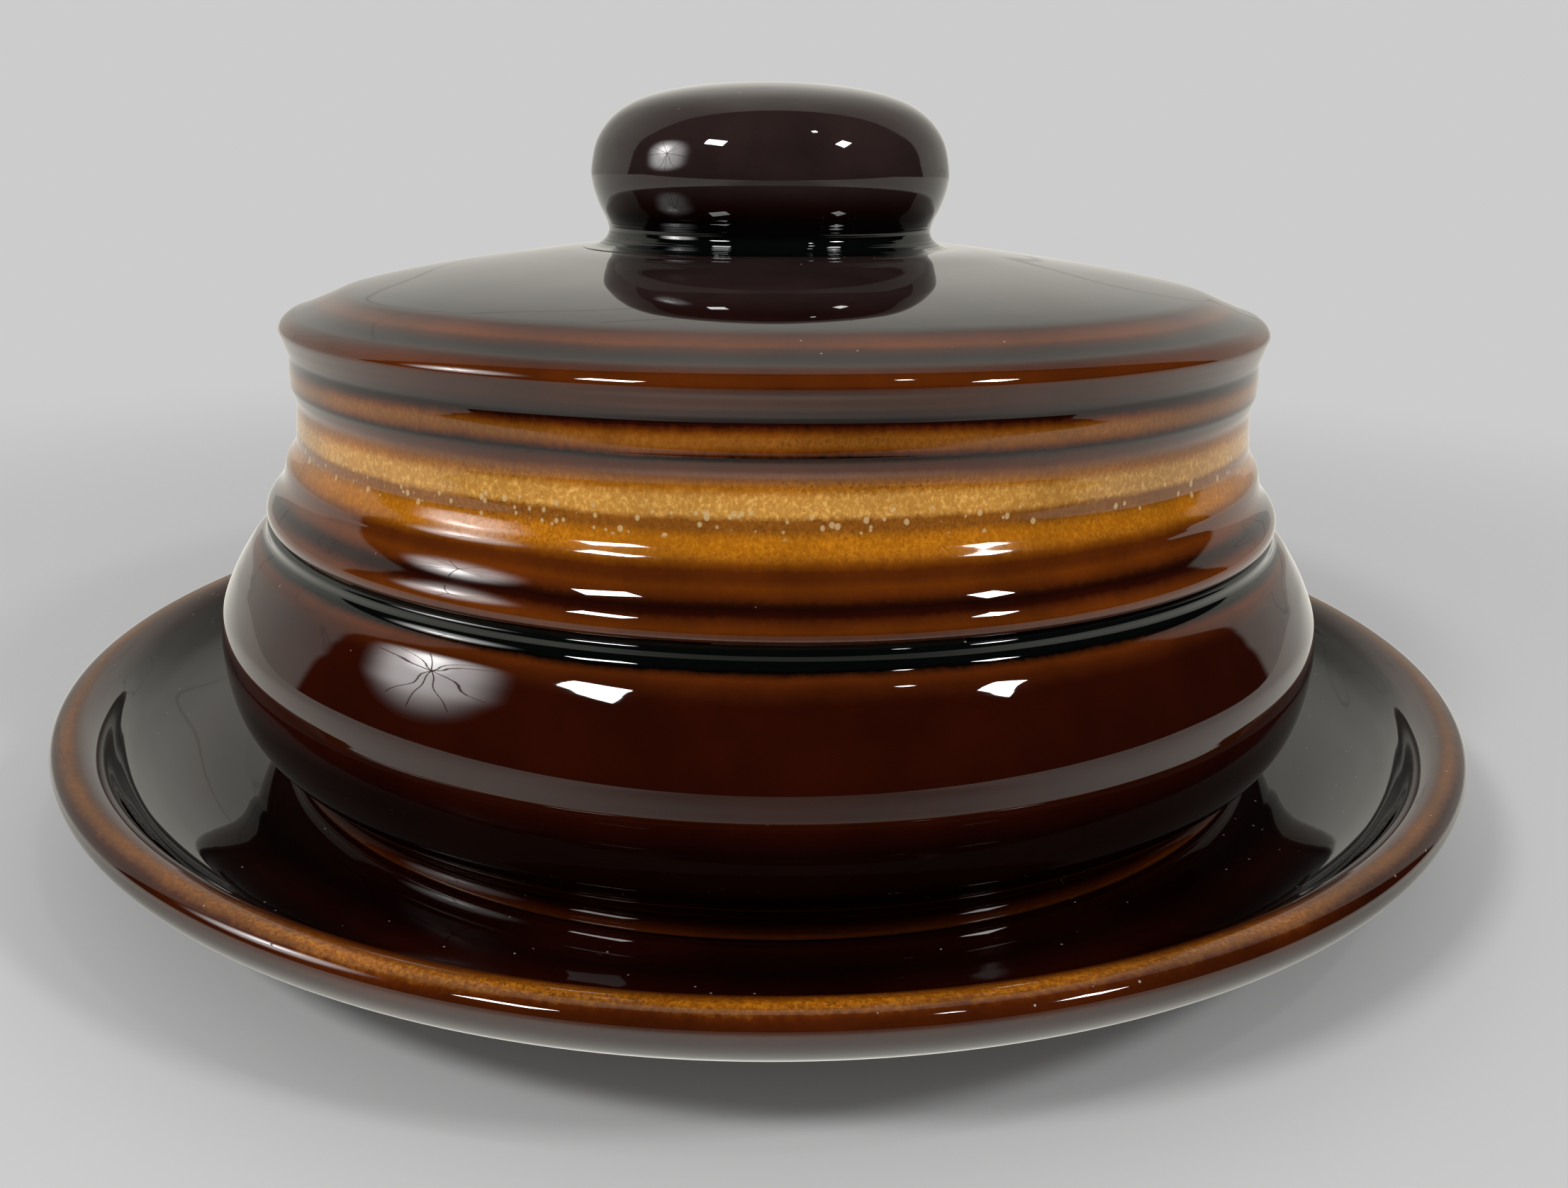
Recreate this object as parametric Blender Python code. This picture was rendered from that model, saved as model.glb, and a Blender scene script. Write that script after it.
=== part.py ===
"""Covered butter crock on an underplate, in glazed stoneware.

Four turned pieces share the vertical axis: the underplate, the bowl that stands in it, the lid that
sits on the bowl, and the hollow knob luted to the lid. Outlines are (radius, height) points in
millimetres, and every piece is its outline spun about +Z. The origin is the centre of the
underplate's foot, on the table.
"""
import math

import bmesh
import bpy

MM = 0.001
STEPS = 48                  # sides of every turned piece
GAP = 0.3                   # clearance between pieces that rest on each other

# Driving dimensions, in millimetres.
PLATE_RADIUS = 100.0
PLATE_LIP_TOP = 18.9        # height of the lip's crown above the table
PLATE_LIP_ROUND = 2.3       # radius of the rolled lip's outer edge
PLATE_WELL_TOP = 8.85       # height of the flat well that the bowl stands on
PLATE_WELL_RADIUS = 79.0
PLATE_WALL = 5.0
PLATE_FOOT_OUTER = 64.0
PLATE_FOOT_INNER = 58.0
PLATE_FOOT_DEPTH = 2.6      # how far the foot ring stands below the base

BOWL_FOOT_BOTTOM = PLATE_WELL_TOP + GAP
BOWL_FOOT_RADIUS = 72.7
BOWL_FOOT_WIDTH = 5.5
BOWL_FOOT_DEPTH = 2.4
BOWL_FLOOR_TOP = 17.0
BOWL_BELLY_RADIUS = 79.2
BOWL_BELLY_HEIGHT = 26.5    # height of the widest circle
BOWL_MOUTH_TOP = 42.6
BOWL_MOUTH_OUTER = 72.1
BOWL_MOUTH_INNER = 67.0
BOWL_CAVITY_RADIUS = 73.6

LID_SEAT = BOWL_MOUTH_TOP + GAP
LID_BASE_RADIUS = 72.0
LID_WAIST_RADIUS = 66.1
LID_RIM_RADIUS = 68.2
LID_RIM_HEIGHT = 67.9
LID_TOP = 77.3              # flat top under the knob
LID_TOP_FLAT_RADIUS = 26.5
LID_WALL = 5.0
LID_FLANGE_OUTER = 65.4
LID_FLANGE_INNER = 61.4
LID_FLANGE_DEPTH = 5.0
LID_VENT_RADIUS = 5.0

KNOB_BOTTOM = LID_TOP + GAP
KNOB_TOP = 98.9
KNOB_RADIUS = 25.1
KNOB_WAIST_RADIUS = 22.9
KNOB_FILLET_RADIUS = 25.3   # foot of the fillet that meets the lid
KNOB_BORE_RADIUS = 17.5
KNOB_WALL = 4.8


def curve_through(points, spans=2):
    """Points of a smooth Catmull-Rom curve through the given points, with `spans` steps between two."""
    ends = [points[0]] + list(points) + [points[-1]]
    curve = []
    for p0, p1, p2, p3 in zip(ends, ends[1:], ends[2:], ends[3:]):
        for step in range(spans):
            t = step / spans
            curve.append(tuple(
                0.5 * (2 * b + (c - a) * t + (2 * a - 5 * b + 4 * c - d) * t**2
                       + (3 * b - a - 3 * c + d) * t**3)
                for a, b, c, d in zip(p0, p1, p2, p3)))
    return curve + [points[-1]]


def arc(centre, radius, start, end, steps):
    """Points of an arc, with its angles in degrees from the outward direction."""
    angles = (math.radians(start + (end - start) * step / steps) for step in range(steps + 1))
    return [(centre[0] + radius * math.cos(a), centre[1] + radius * math.sin(a)) for a in angles]


def turned(name, outline, material):
    """A solid of revolution about +Z from an outline that runs outward, then down its outer side."""
    bm = bmesh.new()
    verts = [bm.verts.new((radius * MM, 0.0, height * MM)) for radius, height in outline]
    edges = [bm.edges.new(pair) for pair in zip(verts, verts[1:])]
    if outline[0][0] > 0.0:
        edges.append(bm.edges.new((verts[-1], verts[0])))
    bmesh.ops.spin(bm, geom=verts + edges, cent=(0, 0, 0), axis=(0, 0, 1), angle=2 * math.pi,
                   steps=STEPS, use_merge=True)
    bmesh.ops.remove_doubles(bm, verts=bm.verts, dist=0.01 * MM)
    bmesh.ops.recalc_face_normals(bm, faces=bm.faces)
    mesh = bpy.data.meshes.new(name)
    bm.to_mesh(mesh)
    bm.free()
    mesh.shade_smooth()
    mesh.set_sharp_from_angle(angle=math.radians(40))
    mesh.materials.append(material)
    piece = bpy.data.objects.new(name, mesh)
    bpy.context.scene.collection.objects.link(piece)
    return piece


def glaze(name, colour, roughness):
    """Glossy fired glaze."""
    material = bpy.data.materials.new(name)
    material.use_nodes = True
    shader = material.node_tree.nodes["Principled BSDF"]
    shader.inputs["Base Color"].default_value = (*colour, 1.0)
    shader.inputs["Roughness"].default_value = roughness
    shader.inputs["Metallic"].default_value = 0.0
    material.diffuse_color = (*colour, 1.0)
    return material


def plate_outline():
    """Well and lip from the axis outward, then the underside and the foot ring back to the axis."""
    lip_centre = (PLATE_RADIUS - PLATE_LIP_ROUND, PLATE_LIP_TOP - PLATE_LIP_ROUND)
    well = [(0.0, PLATE_WELL_TOP), (PLATE_WELL_RADIUS * 0.5, PLATE_WELL_TOP)]
    flare = curve_through([(PLATE_WELL_RADIUS, PLATE_WELL_TOP),
                           (85.0, PLATE_WELL_TOP + 1.3),
                           (90.5, PLATE_WELL_TOP + 5.2),
                           (94.2, PLATE_LIP_TOP - 1.3)])
    lip = arc(lip_centre, PLATE_LIP_ROUND, 90, -60, 6)
    base = PLATE_FOOT_DEPTH
    underside = curve_through([(94.5, PLATE_LIP_TOP - PLATE_WALL - 2.0),
                               (87.0, PLATE_WELL_TOP - 1.0),
                               (78.0, base + 1.4),
                               (PLATE_FOOT_OUTER + 2.4, base + 0.4)])
    foot = [(PLATE_FOOT_OUTER, 0.6), (PLATE_FOOT_OUTER - 0.6, 0.0),
            (PLATE_FOOT_INNER + 0.6, 0.0), (PLATE_FOOT_INNER, 0.6),
            (PLATE_FOOT_INNER - 1.2, base), (0.0, base + 0.3)]
    return well + flare + lip + underside + foot


def bowl_outline():
    """Floor and inner wall up to the mouth, then the belly and the foot ring back to the axis."""
    foot = BOWL_FOOT_BOTTOM
    belly = BOWL_BELLY_RADIUS
    inside = curve_through([(46.0, BOWL_FLOOR_TOP),
                            (66.0, BOWL_FLOOR_TOP + 1.6),
                            (BOWL_CAVITY_RADIUS - 0.8, BOWL_FLOOR_TOP + 7.0),
                            (BOWL_CAVITY_RADIUS - 0.6, BOWL_FLOOR_TOP + 13.0),
                            (BOWL_MOUTH_INNER + 1.6, BOWL_MOUTH_TOP - 6.6)])
    mouth = [(BOWL_MOUTH_INNER, BOWL_MOUTH_TOP - 4.6), (BOWL_MOUTH_INNER, BOWL_MOUTH_TOP - 0.8),
             (BOWL_MOUTH_INNER + 0.8, BOWL_MOUTH_TOP), (BOWL_MOUTH_OUTER - 0.5, BOWL_MOUTH_TOP),
             (BOWL_MOUTH_OUTER, BOWL_MOUTH_TOP - 0.5)]
    groove = [(BOWL_MOUTH_OUTER - 0.3, BOWL_MOUTH_TOP - 1.4), (BOWL_MOUTH_OUTER + 0.5, BOWL_MOUTH_TOP - 2.3)]
    shoulder = curve_through([(BOWL_MOUTH_OUTER + 1.6, BOWL_MOUTH_TOP - 3.3),
                              (belly - 2.9, 35.8),
                              (belly - 0.7, 31.2),
                              (belly, BOWL_BELLY_HEIGHT),
                              (belly - 0.6, 20.2),
                              (belly - 2.7, 15.9),
                              (belly - 5.9, 12.8)])
    ring_outer = [(BOWL_FOOT_RADIUS - 0.4, foot + 1.8), (BOWL_FOOT_RADIUS, foot)]
    ring_inner = [(BOWL_FOOT_RADIUS - BOWL_FOOT_WIDTH, foot),
                  (BOWL_FOOT_RADIUS - BOWL_FOOT_WIDTH - 1.2, foot + BOWL_FOOT_DEPTH),
                  (0.0, foot + BOWL_FOOT_DEPTH + 0.3)]
    floor = [(0.0, BOWL_FLOOR_TOP - 0.3)]
    return floor + inside + mouth + groove + shoulder + ring_outer + ring_inner


def lid_outline():
    """Top from the vent outward, down the ridged wall, round the flange and back under the top."""
    rim = LID_RIM_RADIUS
    waist = LID_WAIST_RADIUS
    base = LID_BASE_RADIUS
    top = [(LID_VENT_RADIUS, LID_TOP), (LID_TOP_FLAT_RADIUS, LID_TOP)]
    dome = curve_through([(42.0, 75.4), (54.0, 73.4), (62.6, 71.2), (65.6, 69.9)])
    rim_round = arc((rim - 1.6, LID_RIM_HEIGHT), 1.6, 60, -50, 3)
    cove = [(waist + 1.0, 65.2), (waist + 0.8, 62.8), (waist + 0.7, 60.6)]
    band = [(waist, 58.8), (waist + 0.7, 57.0), (waist + 1.1, 54.8), (waist + 1.2, 52.8)]
    ridge = [(waist + 2.5, 51.2), (waist + 3.0, 49.6), (waist + 3.3, 48.0)]
    bulge = [(base - 1.1, 46.4), (base, 44.6)]
    seat = [(base, LID_SEAT + 0.6), (base - 0.6, LID_SEAT)]
    flange_bottom = LID_SEAT - LID_FLANGE_DEPTH
    flange = [(LID_FLANGE_OUTER, LID_SEAT), (LID_FLANGE_OUTER, flange_bottom + 0.8),
              (LID_FLANGE_OUTER - 0.8, flange_bottom), (LID_FLANGE_INNER + 0.8, flange_bottom),
              (LID_FLANGE_INNER, flange_bottom + 0.8)]
    inner = waist - LID_WALL
    inside = curve_through([(inner + 0.6, LID_SEAT + 4.0),
                            (inner, 58.0),
                            (inner - 1.0, 64.0),
                            (inner - 8.5, 68.3),
                            (42.0, 75.4 - LID_WALL),
                            (LID_TOP_FLAT_RADIUS, LID_TOP - LID_WALL)])
    wall = cove + band + ridge + bulge
    ceiling = [(LID_VENT_RADIUS, LID_TOP - LID_WALL)]
    return top + dome + rim_round + wall + seat + flange + inside + ceiling


def knob_outline():
    """Crown, rolled side, waist and fillet, then the hollow inside back to the axis."""
    side = KNOB_RADIUS
    crown = curve_through([(0.0, KNOB_TOP),
                           (9.0, KNOB_TOP - 0.3),
                           (16.4, KNOB_TOP - 1.6),
                           (21.1, 95.1),
                           (24.0, 91.8),
                           (side, 87.5),
                           (side - 0.4, 83.7),
                           (KNOB_WAIST_RADIUS + 0.4, 81.0),
                           (KNOB_WAIST_RADIUS, 79.4)])
    fillet = [(KNOB_WAIST_RADIUS + 0.7, KNOB_BOTTOM + 0.8), (KNOB_FILLET_RADIUS, KNOB_BOTTOM)]
    bore = [(KNOB_BORE_RADIUS, KNOB_BOTTOM)]
    hollow = curve_through([(KNOB_BORE_RADIUS, KNOB_BOTTOM + 2.4),
                            (side - KNOB_WALL - 0.6, 86.5),
                            (17.2, 91.0),
                            (10.0, KNOB_TOP - KNOB_WALL - 0.8),
                            (0.0, KNOB_TOP - KNOB_WALL)])
    return crown + fillet + bore + hollow


def build():
    for stale in list(bpy.data.objects):
        bpy.data.objects.remove(stale, do_unlink=True)
    umber = glaze("umber_glaze", (0.030, 0.009, 0.005), 0.08)
    amber = glaze("amber_glaze", (0.260, 0.085, 0.014), 0.10)
    maroon = glaze("maroon_glaze", (0.045, 0.012, 0.006), 0.08)
    dark = glaze("dark_glaze", (0.016, 0.006, 0.006), 0.07)
    turned("underplate", plate_outline(), umber)
    turned("bowl", bowl_outline(), maroon)
    turned("lid", lid_outline(), amber)
    turned("lid_knob", knob_outline(), dark)


build()
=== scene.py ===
"""Looks of the covered butter crock: four turned, glazed stoneware pieces, a pale table and soft light.

Each piece is an outline of (radius, height) points in millimetres, smoothed, given the potter's fine
turning marks, and spun round the shared vertical axis. Its glaze is a ramp that follows the outline:
thin and amber where the glaze runs off an edge, thick and nearly black where it pools.
"""
import math

import bpy
from mathutils import Matrix, Vector, noise


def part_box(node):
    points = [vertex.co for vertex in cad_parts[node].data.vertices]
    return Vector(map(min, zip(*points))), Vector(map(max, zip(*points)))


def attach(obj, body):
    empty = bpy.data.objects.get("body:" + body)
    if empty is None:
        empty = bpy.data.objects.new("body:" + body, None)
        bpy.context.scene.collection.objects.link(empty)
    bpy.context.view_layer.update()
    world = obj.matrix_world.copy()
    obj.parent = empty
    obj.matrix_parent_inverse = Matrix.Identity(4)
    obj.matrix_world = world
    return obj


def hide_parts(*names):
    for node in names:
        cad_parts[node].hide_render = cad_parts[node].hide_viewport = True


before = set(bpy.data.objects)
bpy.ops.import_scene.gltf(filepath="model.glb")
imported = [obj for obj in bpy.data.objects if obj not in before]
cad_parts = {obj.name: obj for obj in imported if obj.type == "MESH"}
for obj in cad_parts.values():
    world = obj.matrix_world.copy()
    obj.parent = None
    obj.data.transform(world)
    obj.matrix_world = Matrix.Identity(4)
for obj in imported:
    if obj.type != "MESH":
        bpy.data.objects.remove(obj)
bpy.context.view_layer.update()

MM = 0.001

# ---------------------------------------------------------------------------------------------------
# Glaze and clay colours, linear RGB, from the thickest glaze to the thinnest.

PITCH = (0.0008, 0.0005, 0.0005)        # thickest pools
SPRUCE = (0.0014, 0.0022, 0.0020)       # thick glaze with a green cast
PLUM = (0.0220, 0.0125, 0.0120)         # the knob and the lid's top
TREACLE = (0.0078, 0.0015, 0.0008)
MAROON = (0.0215, 0.0027, 0.0007)
UMBER = (0.0480, 0.0085, 0.0012)
RUST = (0.0850, 0.0170, 0.0020)
COPPER = (0.1250, 0.0270, 0.0020)
AMBER = (0.1750, 0.0490, 0.0030)
GOLD = (0.2450, 0.0860, 0.0110)
HONEY = (0.3600, 0.1260, 0.0075)
ORANGE = (0.4300, 0.1500, 0.0065)
STRAW = (0.5500, 0.2750, 0.0560)
CREAM = (0.6200, 0.4300, 0.2000)
CLAY = (0.5200, 0.3900, 0.2500)
STAINED_CLAY = (0.3000, 0.1900, 0.1050)
CLAY_SPECK = (0.1000, 0.0500, 0.0250)
BROWN_GRAIN = (0.1000, 0.0380, 0.0070)
DUST = (0.5500, 0.5200, 0.4600)

# Tints that a glaze colour is multiplied by.
# Painted shade, not a glaze colour: this tint darkens and greys the plate's sides and back.
BACK_SHADE_TINT = (0.36, 0.33, 0.60)
DARK_FLECK = (0.62, 0.45, 0.30)
PALE_FLECK = (1.35, 1.50, 2.00)

# ---------------------------------------------------------------------------------------------------
# Turned shapes.

ON_AXIS = 0.01                          # mm; a ring nearer the axis than this is one point
OUT_OF_ROUND = 0.10                     # mm that a wall drifts in and out on its way round

# How a piece leans: slope across, slope in depth, and the heights where the lean starts and is full.
LEVEL = (0.0, 0.0, 0.0, 1.0)
LID_OFF_LEVEL = (0.0070, 0.0, 46.0, 66.0)       # the lid's top and its knob, not its seat
PLATE_OFF_LEVEL = (-0.0006, -0.0100, 9.0, 17.5)


def catmull_rom(p0, p1, p2, p3, t):
    """The (radius, height) at t, 0 to 1, on the way from p1 to p2."""
    return [
        0.5 * (2 * b + (c - a) * t + (2 * a - 5 * b + 4 * c - d) * t**2 + (3 * b - a - 3 * c + d) * t**3)
        for a, b, c, d in zip(p0[:2], p1[:2], p2[:2], p3[:2])]


def smooth_outline(points, spacing):
    """A curve through the outline's points, sampled every spacing(radius, height) mm.

    Returns rows of (radius, height, distance along the outline) and the distance of each given point.
    """
    ends = [points[0]] + list(points) + [points[-1]]
    rows, stations, run = [], [], 0.0
    last = None
    for p0, p1, p2, p3 in zip(ends, ends[1:], ends[2:], ends[3:]):
        stations.append(run)
        gap = spacing((p1[0] + p2[0]) / 2, (p1[1] + p2[1]) / 2)
        spans = max(1, round(math.dist(p1[:2], p2[:2]) / gap))
        for step in range(spans):
            spot = catmull_rom(p0, p1, p2, p3, step / spans)
            if last is not None:
                run += math.dist(last, spot)
            if step == 0:
                stations[-1] = run
            rows.append((max(spot[0], 0.0), spot[1], run))
            last = spot
    run += math.dist(last, points[-1][:2])
    stations.append(run)
    rows.append((points[-1][0], points[-1][1], run))
    return rows, stations


def outward_at(rows, index):
    """The outline's unit normal at one row, as (radius, height)."""
    before, after = rows[max(index - 1, 0)], rows[min(index + 1, len(rows) - 1)]
    slope = (after[0] - before[0], after[1] - before[1])
    size = math.hypot(*slope) or 1.0
    return -slope[1] / size, slope[0] / size


def ring_faces(rows, first_of_ring, sides):
    """Quads from ring to ring, and triangles where the outline meets the axis."""
    rings = len(rows)
    on_axis = [row[0] < ON_AXIS for row in rows]
    faces = []
    for index in range(rings - 1 if on_axis[0] else rings):
        following = (index + 1) % rings
        upper, lower = first_of_ring[index], first_of_ring[following]
        for side in range(sides):
            beside = (side + 1) % sides
            if on_axis[index]:
                faces.append((upper, lower + side, lower + beside))
            elif on_axis[following]:
                faces.append((upper + side, lower, upper + beside))
            else:
                faces.append((upper + side, lower + side, lower + beside, upper + beside))
    return faces


def turned(name, points, spacing, sides, marks, seed, shift=0.0, lean=LEVEL, oval=0.0):
    """A closed turned solid with turning marks, and its distance along the outline as an attribute.

    shift moves it sideways, in mm. oval widens it from side to side, in mm at a radius of 100.
    """
    lowest, highest = min(point[1] for point in points), max(point[1] for point in points)
    slope_across, slope_in_depth, lean_from, lean_full = lean
    rows, stations = smooth_outline(points, spacing)
    verts, along, first_of_ring = [], [], []
    for index, (radius, height, run) in enumerate(rows):
        first_of_ring.append(len(verts))
        if radius < ON_AXIS:
            verts.append((shift * MM, 0.0, height * MM))
            along.append(run)
            continue
        outward = outward_at(rows, index)
        ripple = marks(radius, height, run)
        leaning = min(max((height - lean_from) / (lean_full - lean_from), 0.0), 1.0)
        for side in range(sides):
            angle = 2 * math.pi * side / sides
            cos, sin = math.cos(angle), math.sin(angle)
            drift = noise.noise(Vector((cos * 1.3, sin * 1.3, height * 0.03 + seed))) * OUT_OF_ROUND
            chatter = noise.noise(Vector((cos * 9.0, sin * 9.0, run * 1.1 + seed)))
            push = ripple * (1.0 + 0.3 * chatter) + drift * min(radius / 40.0, 1.0)
            r = radius - outward[0] * push + oval * radius / 100 * cos * cos
            z = min(max(height - outward[1] * push, lowest), highest)
            z += (slope_across * cos + slope_in_depth * sin) * radius * leaning
            verts.append(((r * cos + shift) * MM, r * sin * MM, z * MM))
            along.append(run)
    mesh = bpy.data.meshes.new(name)
    mesh.from_pydata(verts, [], ring_faces(rows, first_of_ring, sides))
    mesh.validate()
    mesh.attributes.new("along", "FLOAT", "POINT").data.foreach_set("value", along)
    mesh.shade_smooth()
    mesh.update()
    piece = bpy.data.objects.new(name, mesh)
    bpy.context.scene.collection.objects.link(piece)
    return piece, stations


def turning_marks(depth, pitch, strength):
    """Fine rings left by the potter's rib, a little uneven in pitch and depth, in mm."""
    def marks(radius, height, run):
        phase = run / pitch + 0.8 * math.sin(run * 0.31) + 0.5 * math.sin(run * 0.83)
        shape = math.sin(2 * math.pi * phase) + 0.5 * math.sin(4.7 * math.pi * phase + 1.0)
        return depth * shape * strength(radius, height)
    return marks


# ---------------------------------------------------------------------------------------------------
# Node helpers.

LONGEST_RAMP = 28                       # stops; Blender allows 32 on one colour ramp


def rgba(colour):
    return (*colour, 1.0)


class Tree:
    """Short calls for building a node tree."""

    def __init__(self, tree):
        self.tree = tree
        tree.nodes.clear()

    def node(self, kind, inputs=None, **settings):
        made = self.tree.nodes.new(kind)
        for name, value in settings.items():
            setattr(made, name, value)
        for key, value in (inputs or {}).items():
            socket = made.inputs[key]
            if isinstance(value, bpy.types.NodeSocket):
                self.tree.links.new(value, socket)
            else:
                socket.default_value = value
        return made

    def maths(self, operation, a, b=0.0, c=0.0):
        return self.node("ShaderNodeMath", {0: a, 1: b, 2: c}, operation=operation).outputs[0]

    def product(self, first, *others):
        for other in others:
            first = self.maths("MULTIPLY", first, other)
        return first

    def noise(self, vector, scale, detail=2.0, rough=0.5, distortion=0.0):
        made = self.node("ShaderNodeTexNoise", {
            "Vector": vector, "Scale": scale, "Detail": detail, "Roughness": rough,
            "Distortion": distortion})
        return made.outputs["Fac"]

    def cells(self, vector, scale):
        """Scattered cells: the distance from each one's middle, and three random numbers for each."""
        made = self.node("ShaderNodeTexVoronoi", {"Vector": vector, "Scale": scale, "Randomness": 1.0})
        chance = self.node("ShaderNodeSeparateColor", {"Color": made.outputs["Color"]})
        return made.outputs["Distance"], chance.outputs

    def place(self):
        return self.node("ShaderNodeTexCoord").outputs["Object"]

    def stretched(self, vector, factors):
        return self.node("ShaderNodeVectorMath", {0: vector, 1: factors}, operation="MULTIPLY").outputs[0]

    def distance(self, vector, spot=(0.0, 0.0, 0.0)):
        made = self.node("ShaderNodeVectorMath", {0: vector, 1: spot}, operation="DISTANCE")
        return made.outputs["Value"]

    def axes(self, vector):
        return self.node("ShaderNodeSeparateXYZ", {"Vector": vector}).outputs

    def fit(self, value, low, high, to_low=0.0, to_high=1.0):
        made = self.node("ShaderNodeMapRange", {
            "Value": value, "From Min": low, "From Max": high, "To Min": to_low, "To Max": to_high},
            interpolation_type="SMOOTHSTEP")
        return made.outputs["Result"]

    def mix(self, factor, a, b, blend="MIX"):
        made = self.node("ShaderNodeMix", {0: factor, 6: a, 7: b}, data_type="RGBA", blend_type=blend)
        return made.outputs[2]

    def tinted(self, colour, tint):
        return self.mix(1.0, colour, tint, "MULTIPLY")

    def part_tinted(self, factor, colour, tint):
        return self.mix(factor, colour, self.tinted(colour, rgba(tint)))

    def grey(self, value):
        return self.node("ShaderNodeCombineColor", {0: value, 1: value, 2: value}).outputs[0]

    def bump(self, height, distance):
        made = self.node("ShaderNodeBump", {"Height": height, "Strength": 1.0, "Distance": distance})
        return made.outputs[0]

    def surface(self, shader):
        self.node("ShaderNodeOutputMaterial", {"Surface": shader.outputs[0]})

    def unlit(self, colour):
        self.surface(self.node("ShaderNodeEmission", {"Color": colour, "Strength": 1.0}))

    def ramp(self, at, stops):
        """Colour by distance; a long list of stops is shared between two ramps."""
        if len(stops) > LONGEST_RAMP:
            half = len(stops) // 2
            beyond = self.maths("GREATER_THAN", at, stops[half][0])
            return self.mix(beyond, self.ramp(at, stops[:half + 1]), self.ramp(at, stops[half:]))
        first, last = stops[0][0], stops[-1][0]
        factor = self.node("ShaderNodeMapRange", {"Value": at, "From Min": first, "From Max": last})
        made = self.node("ShaderNodeValToRGB", {"Fac": factor.outputs["Result"]})
        elements = made.color_ramp.elements
        elements[0].color = rgba(stops[0][1])
        elements[1].color = rgba(stops[-1][1])
        for spot, colour in stops[1:-1]:
            elements.new((spot - first) / (last - first)).color = rgba(colour)
        return made.outputs["Color"]


def new_material(name):
    material = bpy.data.materials.new(name)
    material.use_nodes = True
    return material, Tree(material.node_tree)


# ---------------------------------------------------------------------------------------------------
# Glaze. Texture scales are in features per metre; `along`, and what moves it, is in mm.

WANDER_SCALE, CLOUD_SCALE, PATCH_SCALE = 22.0, 60.0, 45.0
RUN_SCALE, FLECK_SCALE, GRAIN_SCALE = 1100.0, 2100.0, 3600.0
PEEL_SCALE, TOOTH_SCALE = 170.0, 2300.0
DROP_SCALE, RAGGED_SCALE = 900.0, 3000.0
PINHOLE_SCALE, MOTE_SCALE, DUSTY_SCALE, FILM_SCALE = 260.0, 520.0, 40.0, 34.0
WANDER_REACH, RUN_REACH = 9.0, 4.5      # mm at a warp of 1
RUN_STRETCH = (1.0, 1.0, 0.80)          # runs are a little longer than wide
DROP_STRETCH = (1.0, 1.0, 0.85)
# Where the plate's painted shade starts at its front edge and where it is full; its edge wanders a little.
BACK_SHADE_FROM, BACK_SHADE_TO = -0.100, -0.062  # metres in depth, front to back
BACK_SHADE_UNEVEN = 0.10
RELIEF = 0.000004                       # metres of height per unit of bump
DROP_RELIEF, PINHOLE_RELIEF = 2.2, 2.6
GLAZE_IOR, CLAY_IOR = 1.52, 1.45


def banded(tree, place, runs, stops, warp, thicker_back):
    """The outline's colours in bands that wander round the piece, their edges drawn down in fine runs."""
    along = tree.node("ShaderNodeAttribute", attribute_name="along").outputs["Fac"]
    wander = tree.maths("SUBTRACT", tree.noise(place, WANDER_SCALE, 3.0, 0.6), 0.5)
    feather = tree.maths("SUBTRACT", tree.noise(runs, RUN_SCALE, 4.0, 0.65), 0.5)
    at = tree.maths("MULTIPLY_ADD", wander, warp * WANDER_REACH, along)
    at = tree.maths("MULTIPLY_ADD", feather, warp * RUN_REACH, at)
    colour = tree.ramp(at, stops)
    # Painted shade: the plate's colours darken and grey from its front edge towards its sides and back.
    if thicker_back:
        depth = tree.maths("MULTIPLY_ADD", wander, BACK_SHADE_UNEVEN, tree.axes(place)["Y"])
        colour = tree.part_tinted(tree.fit(depth, BACK_SHADE_FROM, BACK_SHADE_TO, 0.0, 0.92), colour, BACK_SHADE_TINT)
    return colour, at


def mottled(tree, colour, place, runs, grain):
    """Clouds, dark and pale flecks and brown grains, mostly where the glaze is thin.

    Also gives how thin the glaze is: near 1 on amber, near 0 in the dark pools.
    """
    light = tree.node("ShaderNodeRGBToBW", {"Color": colour}).outputs[0]
    thin = tree.fit(light, 0.02, 0.13)
    cloud = tree.fit(tree.noise(place, CLOUD_SCALE, 5.0, 0.62), 0.3, 0.7, 0.78, 1.22)
    colour = tree.tinted(colour, tree.grey(cloud))

    fleck = tree.noise(runs, FLECK_SCALE, 5.0, 0.7)
    deep = tree.product(tree.fit(fleck, 0.60, 0.40), tree.product(thin, 0.45 * grain))
    colour = tree.part_tinted(deep, colour, DARK_FLECK)
    on_light = tree.fit(light, 0.14, 0.28, 0.15 * grain, 0.75)
    colour = tree.part_tinted(tree.product(tree.fit(fleck, 0.50, 0.66), on_light), colour, PALE_FLECK)

    patches = tree.fit(tree.noise(place, PATCH_SCALE, 2.0), 0.35, 0.65, 0.2, 1.0)
    peppered = tree.product(thin, tree.fit(light, 0.30, 0.15, 0.15, 0.60), patches)
    grains = tree.fit(tree.noise(runs, GRAIN_SCALE, 2.0, 0.5), 0.56, 0.64)
    grains = tree.product(grains, tree.product(peppered, grain))
    return tree.mix(grains, colour, rgba(BROWN_GRAIN)), thin


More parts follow.
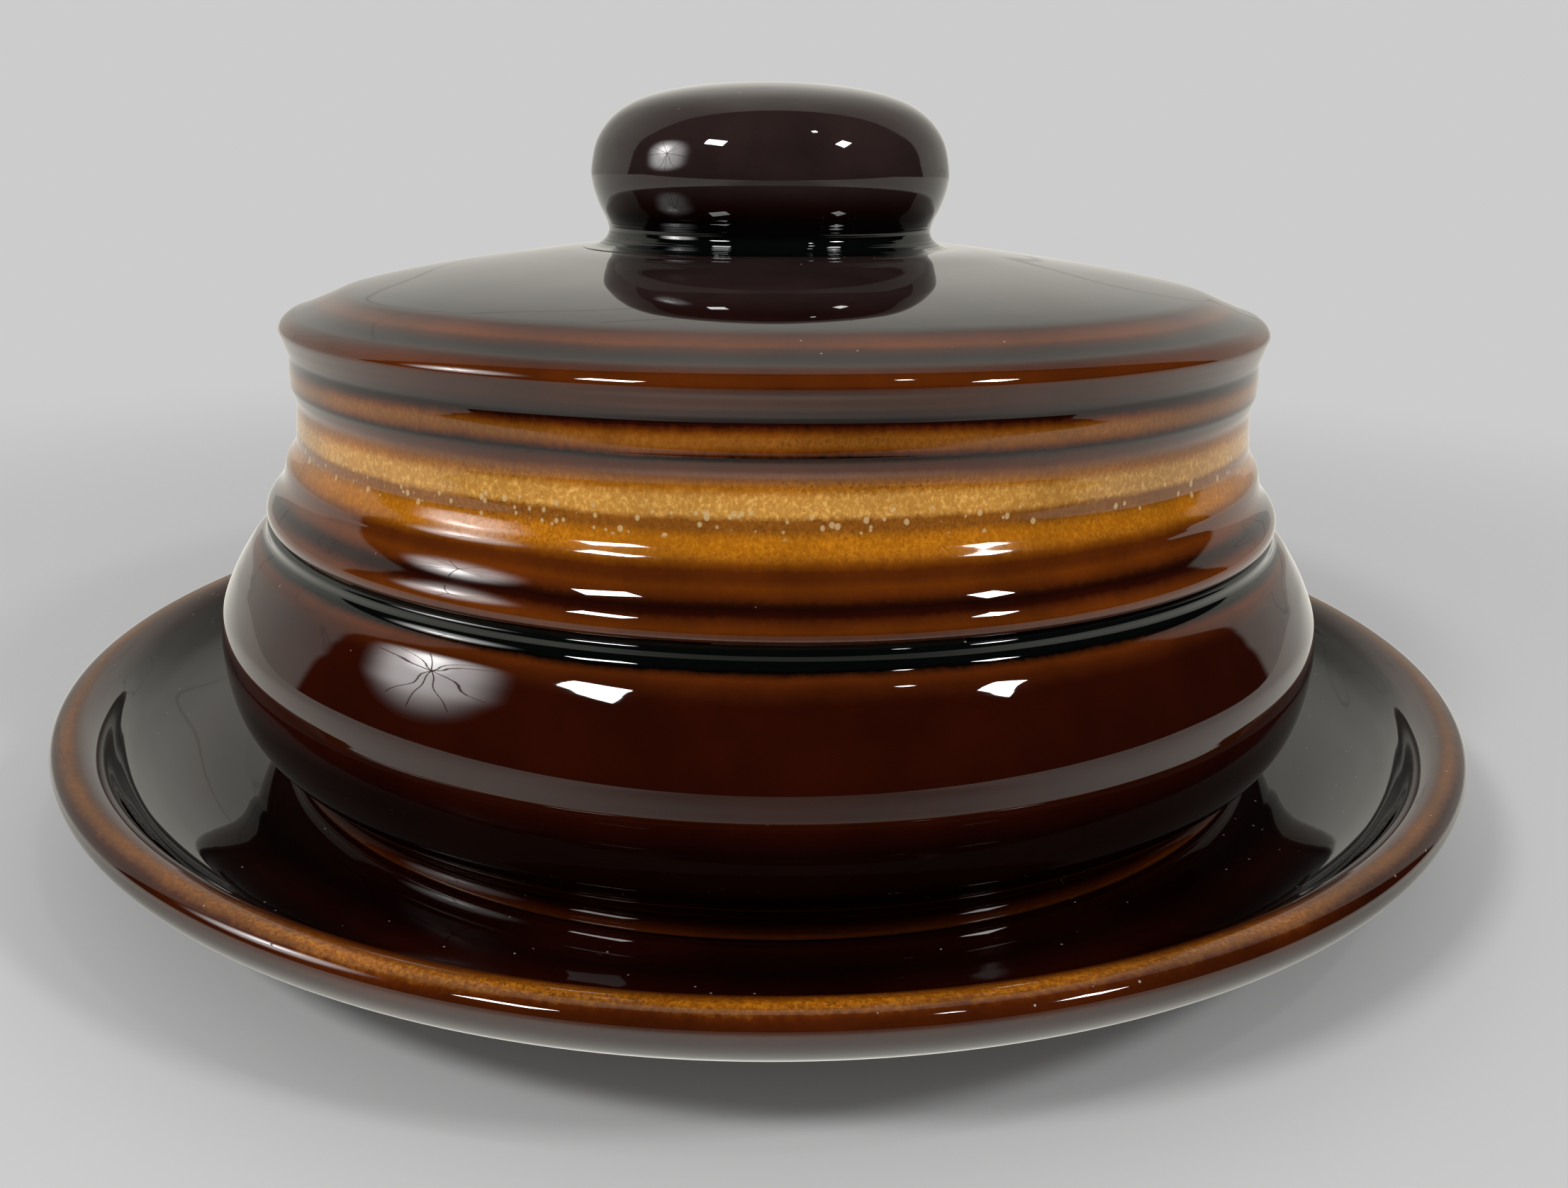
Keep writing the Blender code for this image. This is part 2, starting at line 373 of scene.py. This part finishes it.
def cream_drops(tree, place, at, stretch):
    """Where small cream drops stand on the glaze, crowded in patches along one stretch of the outline."""
    distance, chance = tree.cells(tree.stretched(place, DROP_STRETCH), DROP_SCALE)
    size = tree.maths("MULTIPLY_ADD", tree.maths("POWER", chance[1], 2.0), 0.20, 0.17)
    ragged = tree.maths("MULTIPLY_ADD", tree.noise(place, RAGGED_SCALE, 1.0), 0.10, -0.05)
    edge = tree.maths("SUBTRACT", tree.maths("ADD", distance, ragged), size)
    middle, half = (stretch[0] + stretch[1]) / 2, (stretch[1] - stretch[0]) / 2
    off_band = tree.maths("ABSOLUTE", tree.maths("SUBTRACT", at, middle))
    in_band = tree.fit(off_band, half, half * 0.7)
    crowd = tree.fit(tree.noise(place, CLOUD_SCALE, 2.0), 0.36, 0.60, 0.62, 0.05)
    chosen = tree.product(in_band, tree.maths("GREATER_THAN", chance[0], crowd))
    return tree.product(tree.fit(edge, 0.05, -0.06), chosen)


def pinholes(tree, place):
    distance, chance = tree.cells(place, PINHOLE_SCALE)
    return tree.product(tree.fit(distance, 0.050, 0.02), tree.maths("GREATER_THAN", chance[2], 0.95))


def dust_motes(tree, place, dust):
    """Specks of dust, in patches, on surfaces that face up."""
    distance, chance = tree.cells(place, MOTE_SCALE)
    settled = tree.fit(tree.noise(place, DUSTY_SCALE, 3.0, 0.6), 0.40, 0.60, 0.0, dust * 0.70)
    upward = tree.axes(tree.node("ShaderNodeNewGeometry").outputs["Normal"])["Z"]
    settled = tree.product(settled, tree.fit(upward, 0.3, 0.8))
    return tree.product(tree.fit(distance, 0.09, 0.04), tree.maths("LESS_THAN", chance[0], settled))


def glaze(name, stops, warp, grain, dust, drops=None, thicker_back=False):
    """Fired glaze whose colour follows the outline.

    stops are (distance in mm, colour); drops is the (from, to) stretch that has cream drops.
    """
    material, tree = new_material(name)
    place = tree.place()
    runs = tree.stretched(place, RUN_STRETCH)
    colour, at = banded(tree, place, runs, stops, warp, thicker_back)
    colour, thin = mottled(tree, colour, place, runs, grain)

    # Orange peel in the thick glaze, clay tooth where it is thin.
    tooth = tree.product(tree.noise(place, TOOTH_SCALE, 3.0, 0.65), tree.product(thin, 0.50))
    height = tree.maths("ADD", tree.noise(place, PEEL_SCALE, 2.0, 0.5), tooth)
    if drops:
        drop = cream_drops(tree, place, at, drops)
        colour = tree.mix(tree.product(drop, 0.72), colour, rgba(CREAM))
        height = tree.maths("MULTIPLY_ADD", drop, DROP_RELIEF, height)
    pit = pinholes(tree, place)
    height = tree.maths("MULTIPLY_ADD", pit, PINHOLE_RELIEF, height)
    mote = dust_motes(tree, place, dust)
    colour = tree.mix(tree.product(mote, 0.45), colour, rgba(DUST))

    # A light film of dust dulls the gloss in places.
    film = tree.fit(tree.noise(place, FILM_SCALE, 5.0, 0.65), 0.45, 0.75)
    rough = tree.maths("MULTIPLY_ADD", film, 0.06 * dust, 0.022)
    rough = tree.maths("MULTIPLY_ADD", thin, 0.045, rough)
    rough = tree.maths("MULTIPLY_ADD", tree.maths("MAXIMUM", pit, mote), 0.3, rough)
    tree.surface(tree.node("ShaderNodeBsdfPrincipled", {
        "Base Color": colour, "Roughness": rough, "Normal": tree.bump(height, RELIEF),
        "IOR": GLAZE_IOR}))
    return material


def bare_clay(name):
    """Unglazed, wiped clay on the foot rings and seats."""
    material, tree = new_material(name)
    place = tree.place()
    stain = tree.fit(tree.noise(place, 120.0, 5.0, 0.65), 0.35, 0.72)
    colour = tree.mix(stain, rgba(CLAY), rgba(STAINED_CLAY))
    speck = tree.fit(tree.noise(place, 2600.0, 2.0), 0.66, 0.74)
    colour = tree.mix(speck, colour, rgba(CLAY_SPECK))
    tooth = tree.noise(place, 1500.0, 4.0, 0.7)
    rough = tree.fit(tooth, 0.3, 0.7, 0.75, 0.95)
    tree.surface(tree.node("ShaderNodeBsdfPrincipled", {
        "Base Color": colour, "Roughness": rough, "Normal": tree.bump(tooth, 0.00005),
        "IOR": CLAY_IOR}))
    return material


# ---------------------------------------------------------------------------------------------------
# The pieces. An outline point is (radius, height, glaze colour there).

CLOSEST_STOPS = 0.25                    # mm
GLAZED, BARE = 0, 1                     # material slots


def colour_stops(points, stations):
    """(distance, colour) down the outline, without stops too close together or with nothing to say."""
    spread = [(stations[0], points[0][2])]
    for at, point in zip(stations[1:], points[1:]):
        if at - spread[-1][0] > CLOSEST_STOPS:
            spread.append((at, point[2]))
    stops = spread[:1]
    for before, stop, after in zip(spread, spread[1:], spread[2:]):
        if not before[1] == stop[1] == after[1]:
            stops.append(stop)
    return stops + spread[-1:]


def dress(piece, points, stations, glaze_name, clay, bare, **looks):
    """Gives a turned piece its glaze, and bare clay on the faces whose centre passes `bare`."""
    piece.data.materials.append(glaze(glaze_name, colour_stops(points, stations), **looks))
    piece.data.materials.append(clay)
    for face in piece.data.polygons:
        centre = face.center
        is_bare = bare(math.hypot(centre.x, centre.y) / MM, centre.z / MM)
        face.material_index = BARE if is_bare else GLAZED


def make_plate(clay):
    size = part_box("underplate")[1]
    rim, lip = size.x / MM - 0.85, size.z / MM - 0.6
    well = 8.85
    lip_from, flare_from = 94.0, 76.0       # radii
    points = [
        (0.0, well, TREACLE), (40.0, well, MAROON), (72.0, well, MAROON),
        (77.8, well + 0.02, TREACLE), (82.5, well + 0.5, MAROON), (86.6, well + 1.65, TREACLE),
        (90.0, well + 3.4, PITCH), (92.0, well + 5.4, TREACLE), (93.3, lip - 2.0, MAROON),
        (94.3, lip - 0.95, RUST), (95.3, lip - 0.30, RUST), (96.1, lip - 0.05, AMBER), (96.9, lip, ORANGE),
        (97.6, lip - 0.07, GOLD), (98.2, lip - 0.27, RUST), (98.65, lip - 0.58, UMBER),
        (98.97, lip - 0.98, UMBER), (rim, lip - 1.45, UMBER), (rim - 0.02, lip - 2.05, MAROON),
        (98.95, lip - 2.8, MAROON), (98.55, lip - 3.7, TREACLE), (97.8, lip - 4.7, TREACLE),
        (96.2, lip - 5.8, TREACLE), (93.4, 11.4, TREACLE), (87.0, 7.8, TREACLE), (78.0, 4.1, TREACLE),
        (67.5, 2.9, TREACLE), (64.8, 2.2, UMBER), (64.0, 0.7, RUST), (63.4, 0.0, CLAY),
        (58.6, 0.0, CLAY), (58.0, 0.7, RUST), (56.8, 2.4, UMBER), (50.0, 2.75, TREACLE),
        (0.0, 2.9, TREACLE)]

    def spacing(radius, height):
        if radius > lip_from and height > 13.0:
            return 0.3
        return 0.4 if radius > flare_from and height >= well - 0.1 else 1.5

    marks = turning_marks(0.0006, 2.1, lambda r, z: 1.0 if r > 80.0 or z < well else 0.3)
    piece, stations = turned(
        "underplate_glazed", points, spacing, sides=288, marks=marks, seed=3.0,
        lean=PLATE_OFF_LEVEL, oval=0.75)
    # Only the plate gets painted shade on its sides and back.
    dress(piece, points, stations, "plate_glaze", clay, lambda r, z: z < 0.45 and 57.9 < r < 64.1,
          warp=0.30, grain=1.9, dust=0.9, thicker_back=True)
    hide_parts("underplate")
    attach(piece, "underplate")


def make_bowl(clay):
    low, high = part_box("bowl")
    foot, mouth, belly = low.z / MM, high.z / MM, high.x / MM
    points = [
        (0.0, 16.7, TREACLE), (46.0, 17.0, TREACLE), (66.0, 18.6, TREACLE), (72.8, 24.0, MAROON),
        (73.0, 30.0, MAROON), (70.4, 34.4, MAROON), (67.6, 37.0, UMBER), (67.0, 39.0, UMBER),
        (67.0, mouth - 0.9, MAROON), (67.35, mouth - 0.25, UMBER), (68.0, mouth, UMBER),
        (70.9, mouth, TREACLE), (71.5, mouth - 0.08, SPRUCE), (71.95, mouth - 0.4, SPRUCE),
        (72.05, mouth - 0.9, SPRUCE), (72.08, mouth - 1.4, SPRUCE), (72.25, mouth - 1.9, SPRUCE),
        (72.6, mouth - 2.35, PITCH), (73.25, mouth - 2.85, RUST), (74.1, 39.0, UMBER),
        (75.0, 37.8, MAROON), (75.8, 36.6, MAROON), (76.55, 35.4, MAROON), (77.4, 33.8, MAROON),
        (78.15, 32.2, MAROON), (78.6, 31.0, MAROON), (78.92, 29.5, MAROON), (79.08, 28.0, MAROON),
        (belly - 0.03, 26.5, MAROON), (79.05, 23.5, TREACLE), (78.6, 20.6, TREACLE),
        (77.9, 18.4, TREACLE), (76.9, 16.6, PITCH), (75.6, 15.1, PITCH), (74.25, 13.9, PITCH),
        (73.2, 12.9, TREACLE), (72.5, 11.9, TREACLE), (72.2, 10.9, MAROON), (72.15, 10.1, UMBER),
        (72.2, foot + 0.55, UMBER), (72.25, foot + 0.2, COPPER), (71.9, foot, RUST),
        (67.6, foot, UMBER), (67.0, foot + 0.5, UMBER), (66.0, foot + 2.2, TREACLE),
        (60.0, foot + 2.45, TREACLE), (0.0, foot + 2.6, TREACLE)]

    def spacing(radius, height):
        return 0.3 if radius > 71.0 and height > foot else 1.0

    def unglazed(radius, height):
        on_foot = height < foot + 0.04 and 60.0 < radius < 72.0
        return on_foot or (height > mouth - 0.03 and 68.1 < radius < 71.2)

    marks = turning_marks(0.0005, 1.7, lambda r, z: 0.0 if z < 14.5 else 1.0)
    piece, stations = turned("bowl_glazed", points, spacing, sides=256, marks=marks, seed=7.0, shift=0.9)
    dress(piece, points, stations, "bowl_glaze", clay, unglazed, warp=0.14, grain=0.6, dust=0.2)
    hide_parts("bowl")
    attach(piece, "bowl")


def make_lid(clay):
    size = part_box("lid")[1]
    top, base = size.z / MM, size.x / MM
    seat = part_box("bowl")[1].z / MM + 0.3
    drops_from, drops_to = 55.7, 52.3       # heights of outline points
    points = [
        (5.0, top - 0.4, TREACLE), (6.0, top, TREACLE), (18.0, top, PLUM), (27.0, top - 0.05, PLUM),
        (36.0, top - 1.15, PLUM), (46.0, top - 2.55, PLUM), (54.0, top - 3.95, TREACLE),
        (58.9, top - 5.0, TREACLE), (60.2, top - 5.4, UMBER), (61.1, top - 5.75, RUST),
        (62.3, top - 6.25, COPPER), (63.2, top - 6.6, UMBER), (64.4, top - 7.1, TREACLE),
        (65.6, top - 7.5, TREACLE), (66.8, top - 7.95, UMBER), (67.7, 68.7, RUST), (68.2, 67.9, RUST),
        (68.12, 67.3, UMBER), (67.93, 66.7, UMBER), (67.69, 65.9, UMBER), (67.45, 65.1, MAROON),
        (67.31, 64.6, TREACLE), (67.28, 64.2, TREACLE), (67.30, 63.85, MAROON), (67.33, 63.4, RUST),
        (67.36, 63.0, AMBER), (67.39, 62.6, GOLD), (67.41, 62.0, GOLD), (67.42, 61.5, AMBER),
        (67.42, 61.15, RUST), (67.42, 60.9, TREACLE), (67.43, 60.65, PITCH), (67.41, 60.42, TREACLE),
        (67.32, 60.05, UMBER), (67.12, 59.25, RUST), (66.96, 58.7, AMBER), (66.88, 58.2, GOLD),
        (66.9, 57.5, HONEY), (66.99, 56.6, STRAW), (67.1, drops_from, STRAW), (67.19, 54.9, STRAW),
        (67.27, 54.3, GOLD), (67.34, 53.5, GOLD), (67.43, 52.9, HONEY), (67.65, drops_to, ORANGE),
        (68.05, 51.5, ORANGE), (68.48, 50.9, HONEY), (68.85, 50.3, AMBER), (69.05, 49.6, RUST),
        (69.24, 48.8, RUST), (69.48, 48.0, COPPER), (69.85, 47.2, RUST), (70.4, 46.4, TREACLE),
        (71.1, 45.6, MAROON), (71.62, 44.9, RUST), (base - 0.08, 44.2, COPPER),
        (71.97, 43.6, RUST), (71.9, 43.15, UMBER), (71.6, seat, MAROON), (70.4, seat, MAROON),
        (69.0, seat, CLAY), (65.6, seat, CLAY), (65.3, seat - 0.5, CLAY), (65.3, 38.8, CLAY),
        (64.6, 38.0, CLAY), (62.2, 38.0, CLAY), (61.5, 38.8, RUST), (61.9, 47.0, MAROON),
        (61.3, 58.0, TREACLE), (60.0, 64.5, TREACLE), (54.0, 68.2, TREACLE), (42.0, 70.4, TREACLE),
        (26.5, 72.3, TREACLE), (6.0, 72.3, TREACLE), (5.0, 72.7, TREACLE)]

    def spacing(radius, height):
        return 0.22 if radius > 65.9 and height > seat else 0.9

    marks = turning_marks(0.0022, 1.3, lambda r, z: 1.0 if z < 66.0 else 0.4)
    piece, stations = turned(
        "lid_glazed", points, spacing, sides=256, marks=marks, seed=11.0, shift=1.0, lean=LID_OFF_LEVEL)
    heights = [point[1] for point in points]
    drops = [stations[heights.index(height)] for height in (drops_from, drops_to)]
    dress(piece, points, stations, "lid_glaze", clay, lambda r, z: z < seat + 0.03 and 62.0 < r < 71.3,
          warp=0.16, grain=1.0, dust=0.35, drops=drops)
    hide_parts("lid")
    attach(piece, "lid")


def make_knob(clay):
    low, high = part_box("lid_knob")
    foot, top, side = low.z / MM, high.z / MM, 25.1
    points = [
        (0.0, top, PLUM), (9.0, top - 0.3, PLUM), (16.4, top - 1.6, PLUM),
        (21.1, top - 3.8, PLUM), (24.0, top - 7.1, PLUM), (side, top - 11.0, PLUM),
        (side - 0.1, top - 13.4, PLUM), (side - 0.9, top - 16.0, TREACLE),
        (23.3, top - 17.9, PITCH), (22.9, top - 19.3, PITCH), (23.1, top - 20.1, SPRUCE),
        (23.6, top - 20.75, SPRUCE), (24.4, foot + 0.02, SPRUCE), (25.4, foot - 0.24, PITCH),
        (26.6, foot - 0.36, TREACLE), (26.7, foot - 0.6, TREACLE),
        (17.5, foot - 0.4, CLAY), (17.5, foot + 2.4, CLAY), (19.7, 86.5, CLAY), (17.2, 91.0, CLAY),
        (10.0, 93.3, CLAY), (0.0, 94.1, CLAY)]

    def spacing(radius, height):
        if radius < 20.0 and height < 95.0:
            return 1.5
        return 0.12 if height < 81.5 else 0.5

    marks = turning_marks(0.0030, 0.62, lambda r, z: 4.0 if 77.0 < z < 80.6 and r > 22.0 else 0.6)
    piece, stations = turned(
        "lid_knob_glazed", points, spacing, sides=224, marks=marks, seed=17.0, lean=LID_OFF_LEVEL)
    dress(piece, points, stations, "knob_glaze", clay, lambda r, z: r < 22.0 and z < foot + 0.1,
          warp=0.2, grain=0.7, dust=0.3)
    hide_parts("lid_knob")
    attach(piece, "lid")


# ---------------------------------------------------------------------------------------------------
# Stage, lights and camera, in metres. None of this is part of the object.

BACKGROUND = (0.604, 0.604, 0.604)
SOFT_LIGHT = (0.50, 0.50, 0.50)
PAPER = (0.62, 0.62, 0.62)
STUDIO = (1.0, 0.98, 0.89)              # the slightly warm white of the table and the sweep
ROOM = (0.0095, 0.0080, 0.0075)
CLOTH = (1.0, 0.99, 0.98)
RIB = (0.2, 0.2, 0.2)


def staged_mesh(name, verts, faces, material):
    mesh = bpy.data.meshes.new(name)
    mesh.from_pydata(verts, [], faces)
    mesh.materials.append(material)
    made = bpy.data.objects.new(name, mesh)
    bpy.context.scene.collection.objects.link(made)
    return made


def level_sheet(name, left, right, front, back, material):
    corners = [(left, front, 0.0), (right, front, 0.0), (right, back, 0.0), (left, back, 0.0)]
    return staged_mesh(name, corners, [(0, 1, 2, 3)], material)


def seen_only_in_gloss(made):
    made.visible_camera = False
    made.visible_diffuse = False
    made.visible_transmission = False
    made.visible_volume_scatter = False
    made.visible_shadow = False


def make_floor():
    """A pale matte table that fades into the backdrop's own grey."""
    half = 6.0
    material, tree = new_material("table_matte")
    paper = tree.node("ShaderNodeBsdfDiffuse", {"Color": rgba(PAPER)})
    plain = tree.node("ShaderNodeEmission", {"Color": rgba(BACKGROUND), "Strength": 1.0})
    fade = tree.fit(tree.distance(tree.place()), 0.10, 0.42)
    tree.surface(tree.node("ShaderNodeMixShader", {0: fade, 1: paper.outputs[0], 2: plain.outputs[0]}))
    level_sheet("table_top", -half, half, -half, half, material).visible_glossy = False


def make_gloss_table():
    """The table as the glaze mirrors it: white, shaded under the plate, ending at a front edge."""
    front, back, wide = -0.36, 3.0, 3.0
    floor_reach = 6.0
    viewer, bright_patch = (0.03, -0.27, 0.0), (0.0, -0.13, 0.0)
    material, tree = new_material("table_mirrored")
    place = tree.place()
    reach = tree.distance(place)
    under_plate = tree.fit(reach, 0.100, 0.150, 0.42, 1.0)
    under_viewer = tree.fit(tree.distance(place, viewer), 0.08, 0.20, 0.45, 1.0)
    patch = tree.fit(tree.distance(place, bright_patch), 0.12, 0.01)
    bounce = tree.product(tree.fit(reach, 0.150, 0.105, 0.0, 2.6), patch)
    far = tree.fit(reach, 0.12, 0.40, 1.0, 0.72)
    shade = tree.product(under_plate, under_viewer, tree.maths("ADD", bounce, 1.0), far)
    tree.unlit(tree.tinted(tree.grey(shade), rgba(STUDIO)))
    seen_only_in_gloss(level_sheet("table_mirrored", -wide, wide, front, back, material))
    material, tree = new_material("floor_mirrored")
    tree.unlit(rgba(ROOM))
    seen_only_in_gloss(level_sheet(
        "floor_mirrored", -floor_reach, floor_reach, -floor_reach, front, material))


def make_world():
    """Even grey for the camera and for diffuse light; for gloss, a pale sweep behind, a dim room ahead."""
    sweep_slant = (-0.111, 0.098)       # how far the sweep's edge leans with X and with Z
    world = bpy.data.worlds.new("studio")
    bpy.context.scene.world = world
    world.use_nodes = True
    tree = Tree(world.node_tree)
    out = tree.node("ShaderNodeTexCoord").outputs["Generated"]
    way = tree.axes(out)
    edge = tree.maths("MULTIPLY_ADD", way["X"], sweep_slant[0], way["Y"])
    edge = tree.maths("MULTIPLY_ADD", way["Z"], sweep_slant[1], edge)
    behind = tree.fit(edge, 0.245, 0.285)

    # The backdrop cloth: dimmer overhead and at the sides, with a few creases and billows.
    lift = tree.fit(way["Z"], 0.15, 0.95, 0.80, 0.55)
    fold = tree.maths("ABSOLUTE", tree.maths("SUBTRACT", tree.noise(out, 1.1, 2.0, 0.5, 0.9), 0.5))
    crease = tree.fit(fold, 0.0, 0.005, 0.78, 1.0)
    sideways = tree.fit(tree.maths("ABSOLUTE", way["X"]), 0.05, 0.45, 1.14, 0.68)
    billow = tree.fit(tree.noise(out, 2.2, 3.0, 0.6), 0.3, 0.7, 0.92, 1.06)
    sweep = tree.tinted(tree.grey(tree.product(lift, crease, sideways, billow)), rgba(STUDIO))

    gloss = tree.node("ShaderNodeBackground", {"Color": tree.mix(behind, rgba(ROOM), sweep)})
    soft = tree.node("ShaderNodeBackground", {"Color": rgba(SOFT_LIGHT)})
    plain = tree.node("ShaderNodeBackground", {"Color": rgba(BACKGROUND)})
    rays = tree.node("ShaderNodeLightPath").outputs
    lit = tree.node("ShaderNodeMixShader", {
        0: rays["Is Glossy Ray"], 1: soft.outputs[0], 2: gloss.outputs[0]})
    seen = tree.node("ShaderNodeMixShader", {
        0: rays["Is Camera Ray"], 1: lit.outputs[0], 2: plain.outputs[0]})
    tree.node("ShaderNodeOutputWorld", {"Surface": seen.outputs[0]})


def facing(spot, target):
    """The turn that points a light's face from one place at another."""
    return (Vector(target) - Vector(spot)).to_track_quat("-Z", "Y").to_matrix()


def area_light(name, spot, width, height, radiance, twist=0.0):
    light = bpy.data.lights.new(name, "AREA")
    light.shape = "RECTANGLE"
    light.size = width
    light.size_y = height
    light.energy = radiance * math.pi * width * height
    made = bpy.data.objects.new(name, light)
    made.location = spot
    turn = facing(spot, (0.0, 0.0, 0.05)) @ Matrix.Rotation(math.radians(twist), 3, "Z")
    made.rotation_euler = turn.to_euler()
    made.visible_camera = False
    bpy.context.scene.collection.objects.link(made)


def umbrella_cloth(radius):
    """Soft-edged cloth, brightest near the lamp behind it, which is a little off its middle."""
    lamp = (-0.018, 0.020, 0.0)
    material, tree = new_material("umbrella_cloth")
    place = tree.place()
    from_lamp = tree.distance(place, lamp)
    core = tree.product(tree.fit(from_lamp, 0.045, 0.0), 14.0)
    glow = tree.maths("ADD", core, tree.fit(from_lamp, 0.0, 0.130, 8.5, 3.2))
    glow = tree.product(glow, tree.fit(tree.distance(place), radius, radius * 0.42, 0.02, 1.0))
    tree.surface(tree.node("ShaderNodeEmission", {"Color": rgba(CLOTH), "Strength": glow}))
    return material


def make_umbrella():
    """The round soft light on the left, with thin ribs in front of its cloth."""
    spot = Vector((-0.334, -0.145, 0.215))
    radius, sides = 0.112, 72
    ribs, rib_ends, rib_lift = 9, ((0.0, 0.0010), (0.80, 0.0008)), -0.001
    placed = Matrix.Translation(spot) @ facing(spot, (0.0, 0.0, 0.06)).to_4x4()
    verts, faces = [(0.0, 0.0, 0.0)], []
    for index in range(sides):
        angle = 2 * math.pi * index / sides
        verts.append((radius * math.cos(angle), radius * math.sin(angle), 0.0))
        faces.append((0, index + 1, (index + 1) % sides + 1))
    canopy = staged_mesh("umbrella_canopy", verts, faces, umbrella_cloth(radius))
    verts, faces = [], []
    for index in range(ribs):
        angle = 2 * math.pi * index / ribs + 0.2 * math.sin(index * 2.3)
        out = Vector((math.cos(angle), math.sin(angle), 0))
        across = Vector((-math.sin(angle), math.cos(angle), 0))
        start = len(verts)
        for share, half_width in rib_ends:
            for side in (-1, 1):
                verts.append(out * radius * share + across * half_width * side + Vector((0, 0, rib_lift)))
        faces.append((start, start + 1, start + 3, start + 2))
    material, tree = new_material("umbrella_rib")
    tree.unlit(rgba(RIB))
    for made in (canopy, staged_mesh("umbrella_ribs", verts, faces, material)):
        made.matrix_world = placed
        seen_only_in_gloss(made)


def make_lights():
    area_light("window_left", (-0.256, -0.334, 0.392), 0.104, 0.064, 55.0, -8.0)
    area_light("window_right", (0.365, -0.290, 0.406), 0.082, 0.062, 55.0, 38.0)
    area_light("far_spot", (0.40, -0.44, 1.05), 0.05, 0.05, 60.0)
    make_umbrella()


def make_camera():
    """A phone held low and close, looking down a little, with a slight roll."""
    place = (0.0029, -0.1902, 0.0879)
    down, roll = math.radians(18.48), math.radians(0.96)
    data = bpy.data.cameras.new("camera")
    data.sensor_width = 36.0
    data.lens = 29.3
    data.clip_start = 0.01
    camera = bpy.data.objects.new("camera", data)
    forward = Vector((0.0, math.cos(down), -math.sin(down)))
    level = Vector((1.0, 0.0, 0.0))
    right = level * math.cos(roll) + level.cross(forward) * math.sin(roll)
    turn = Matrix((right, right.cross(forward), -forward)).transposed()
    camera.matrix_world = Matrix.Translation(place) @ turn.to_4x4()
    bpy.context.scene.collection.objects.link(camera)
    bpy.context.scene.camera = camera


bpy.context.scene.view_settings.view_transform = "Standard"

for leftover in [o for o in bpy.context.scene.objects if o.type in {"LIGHT", "CAMERA"}]:
    bpy.data.objects.remove(leftover)

wiped_clay = bare_clay("wiped_clay")
make_plate(wiped_clay)
make_bowl(wiped_clay)
make_lid(wiped_clay)
make_knob(wiped_clay)
make_floor()
make_gloss_table()
make_world()
make_lights()
make_camera()
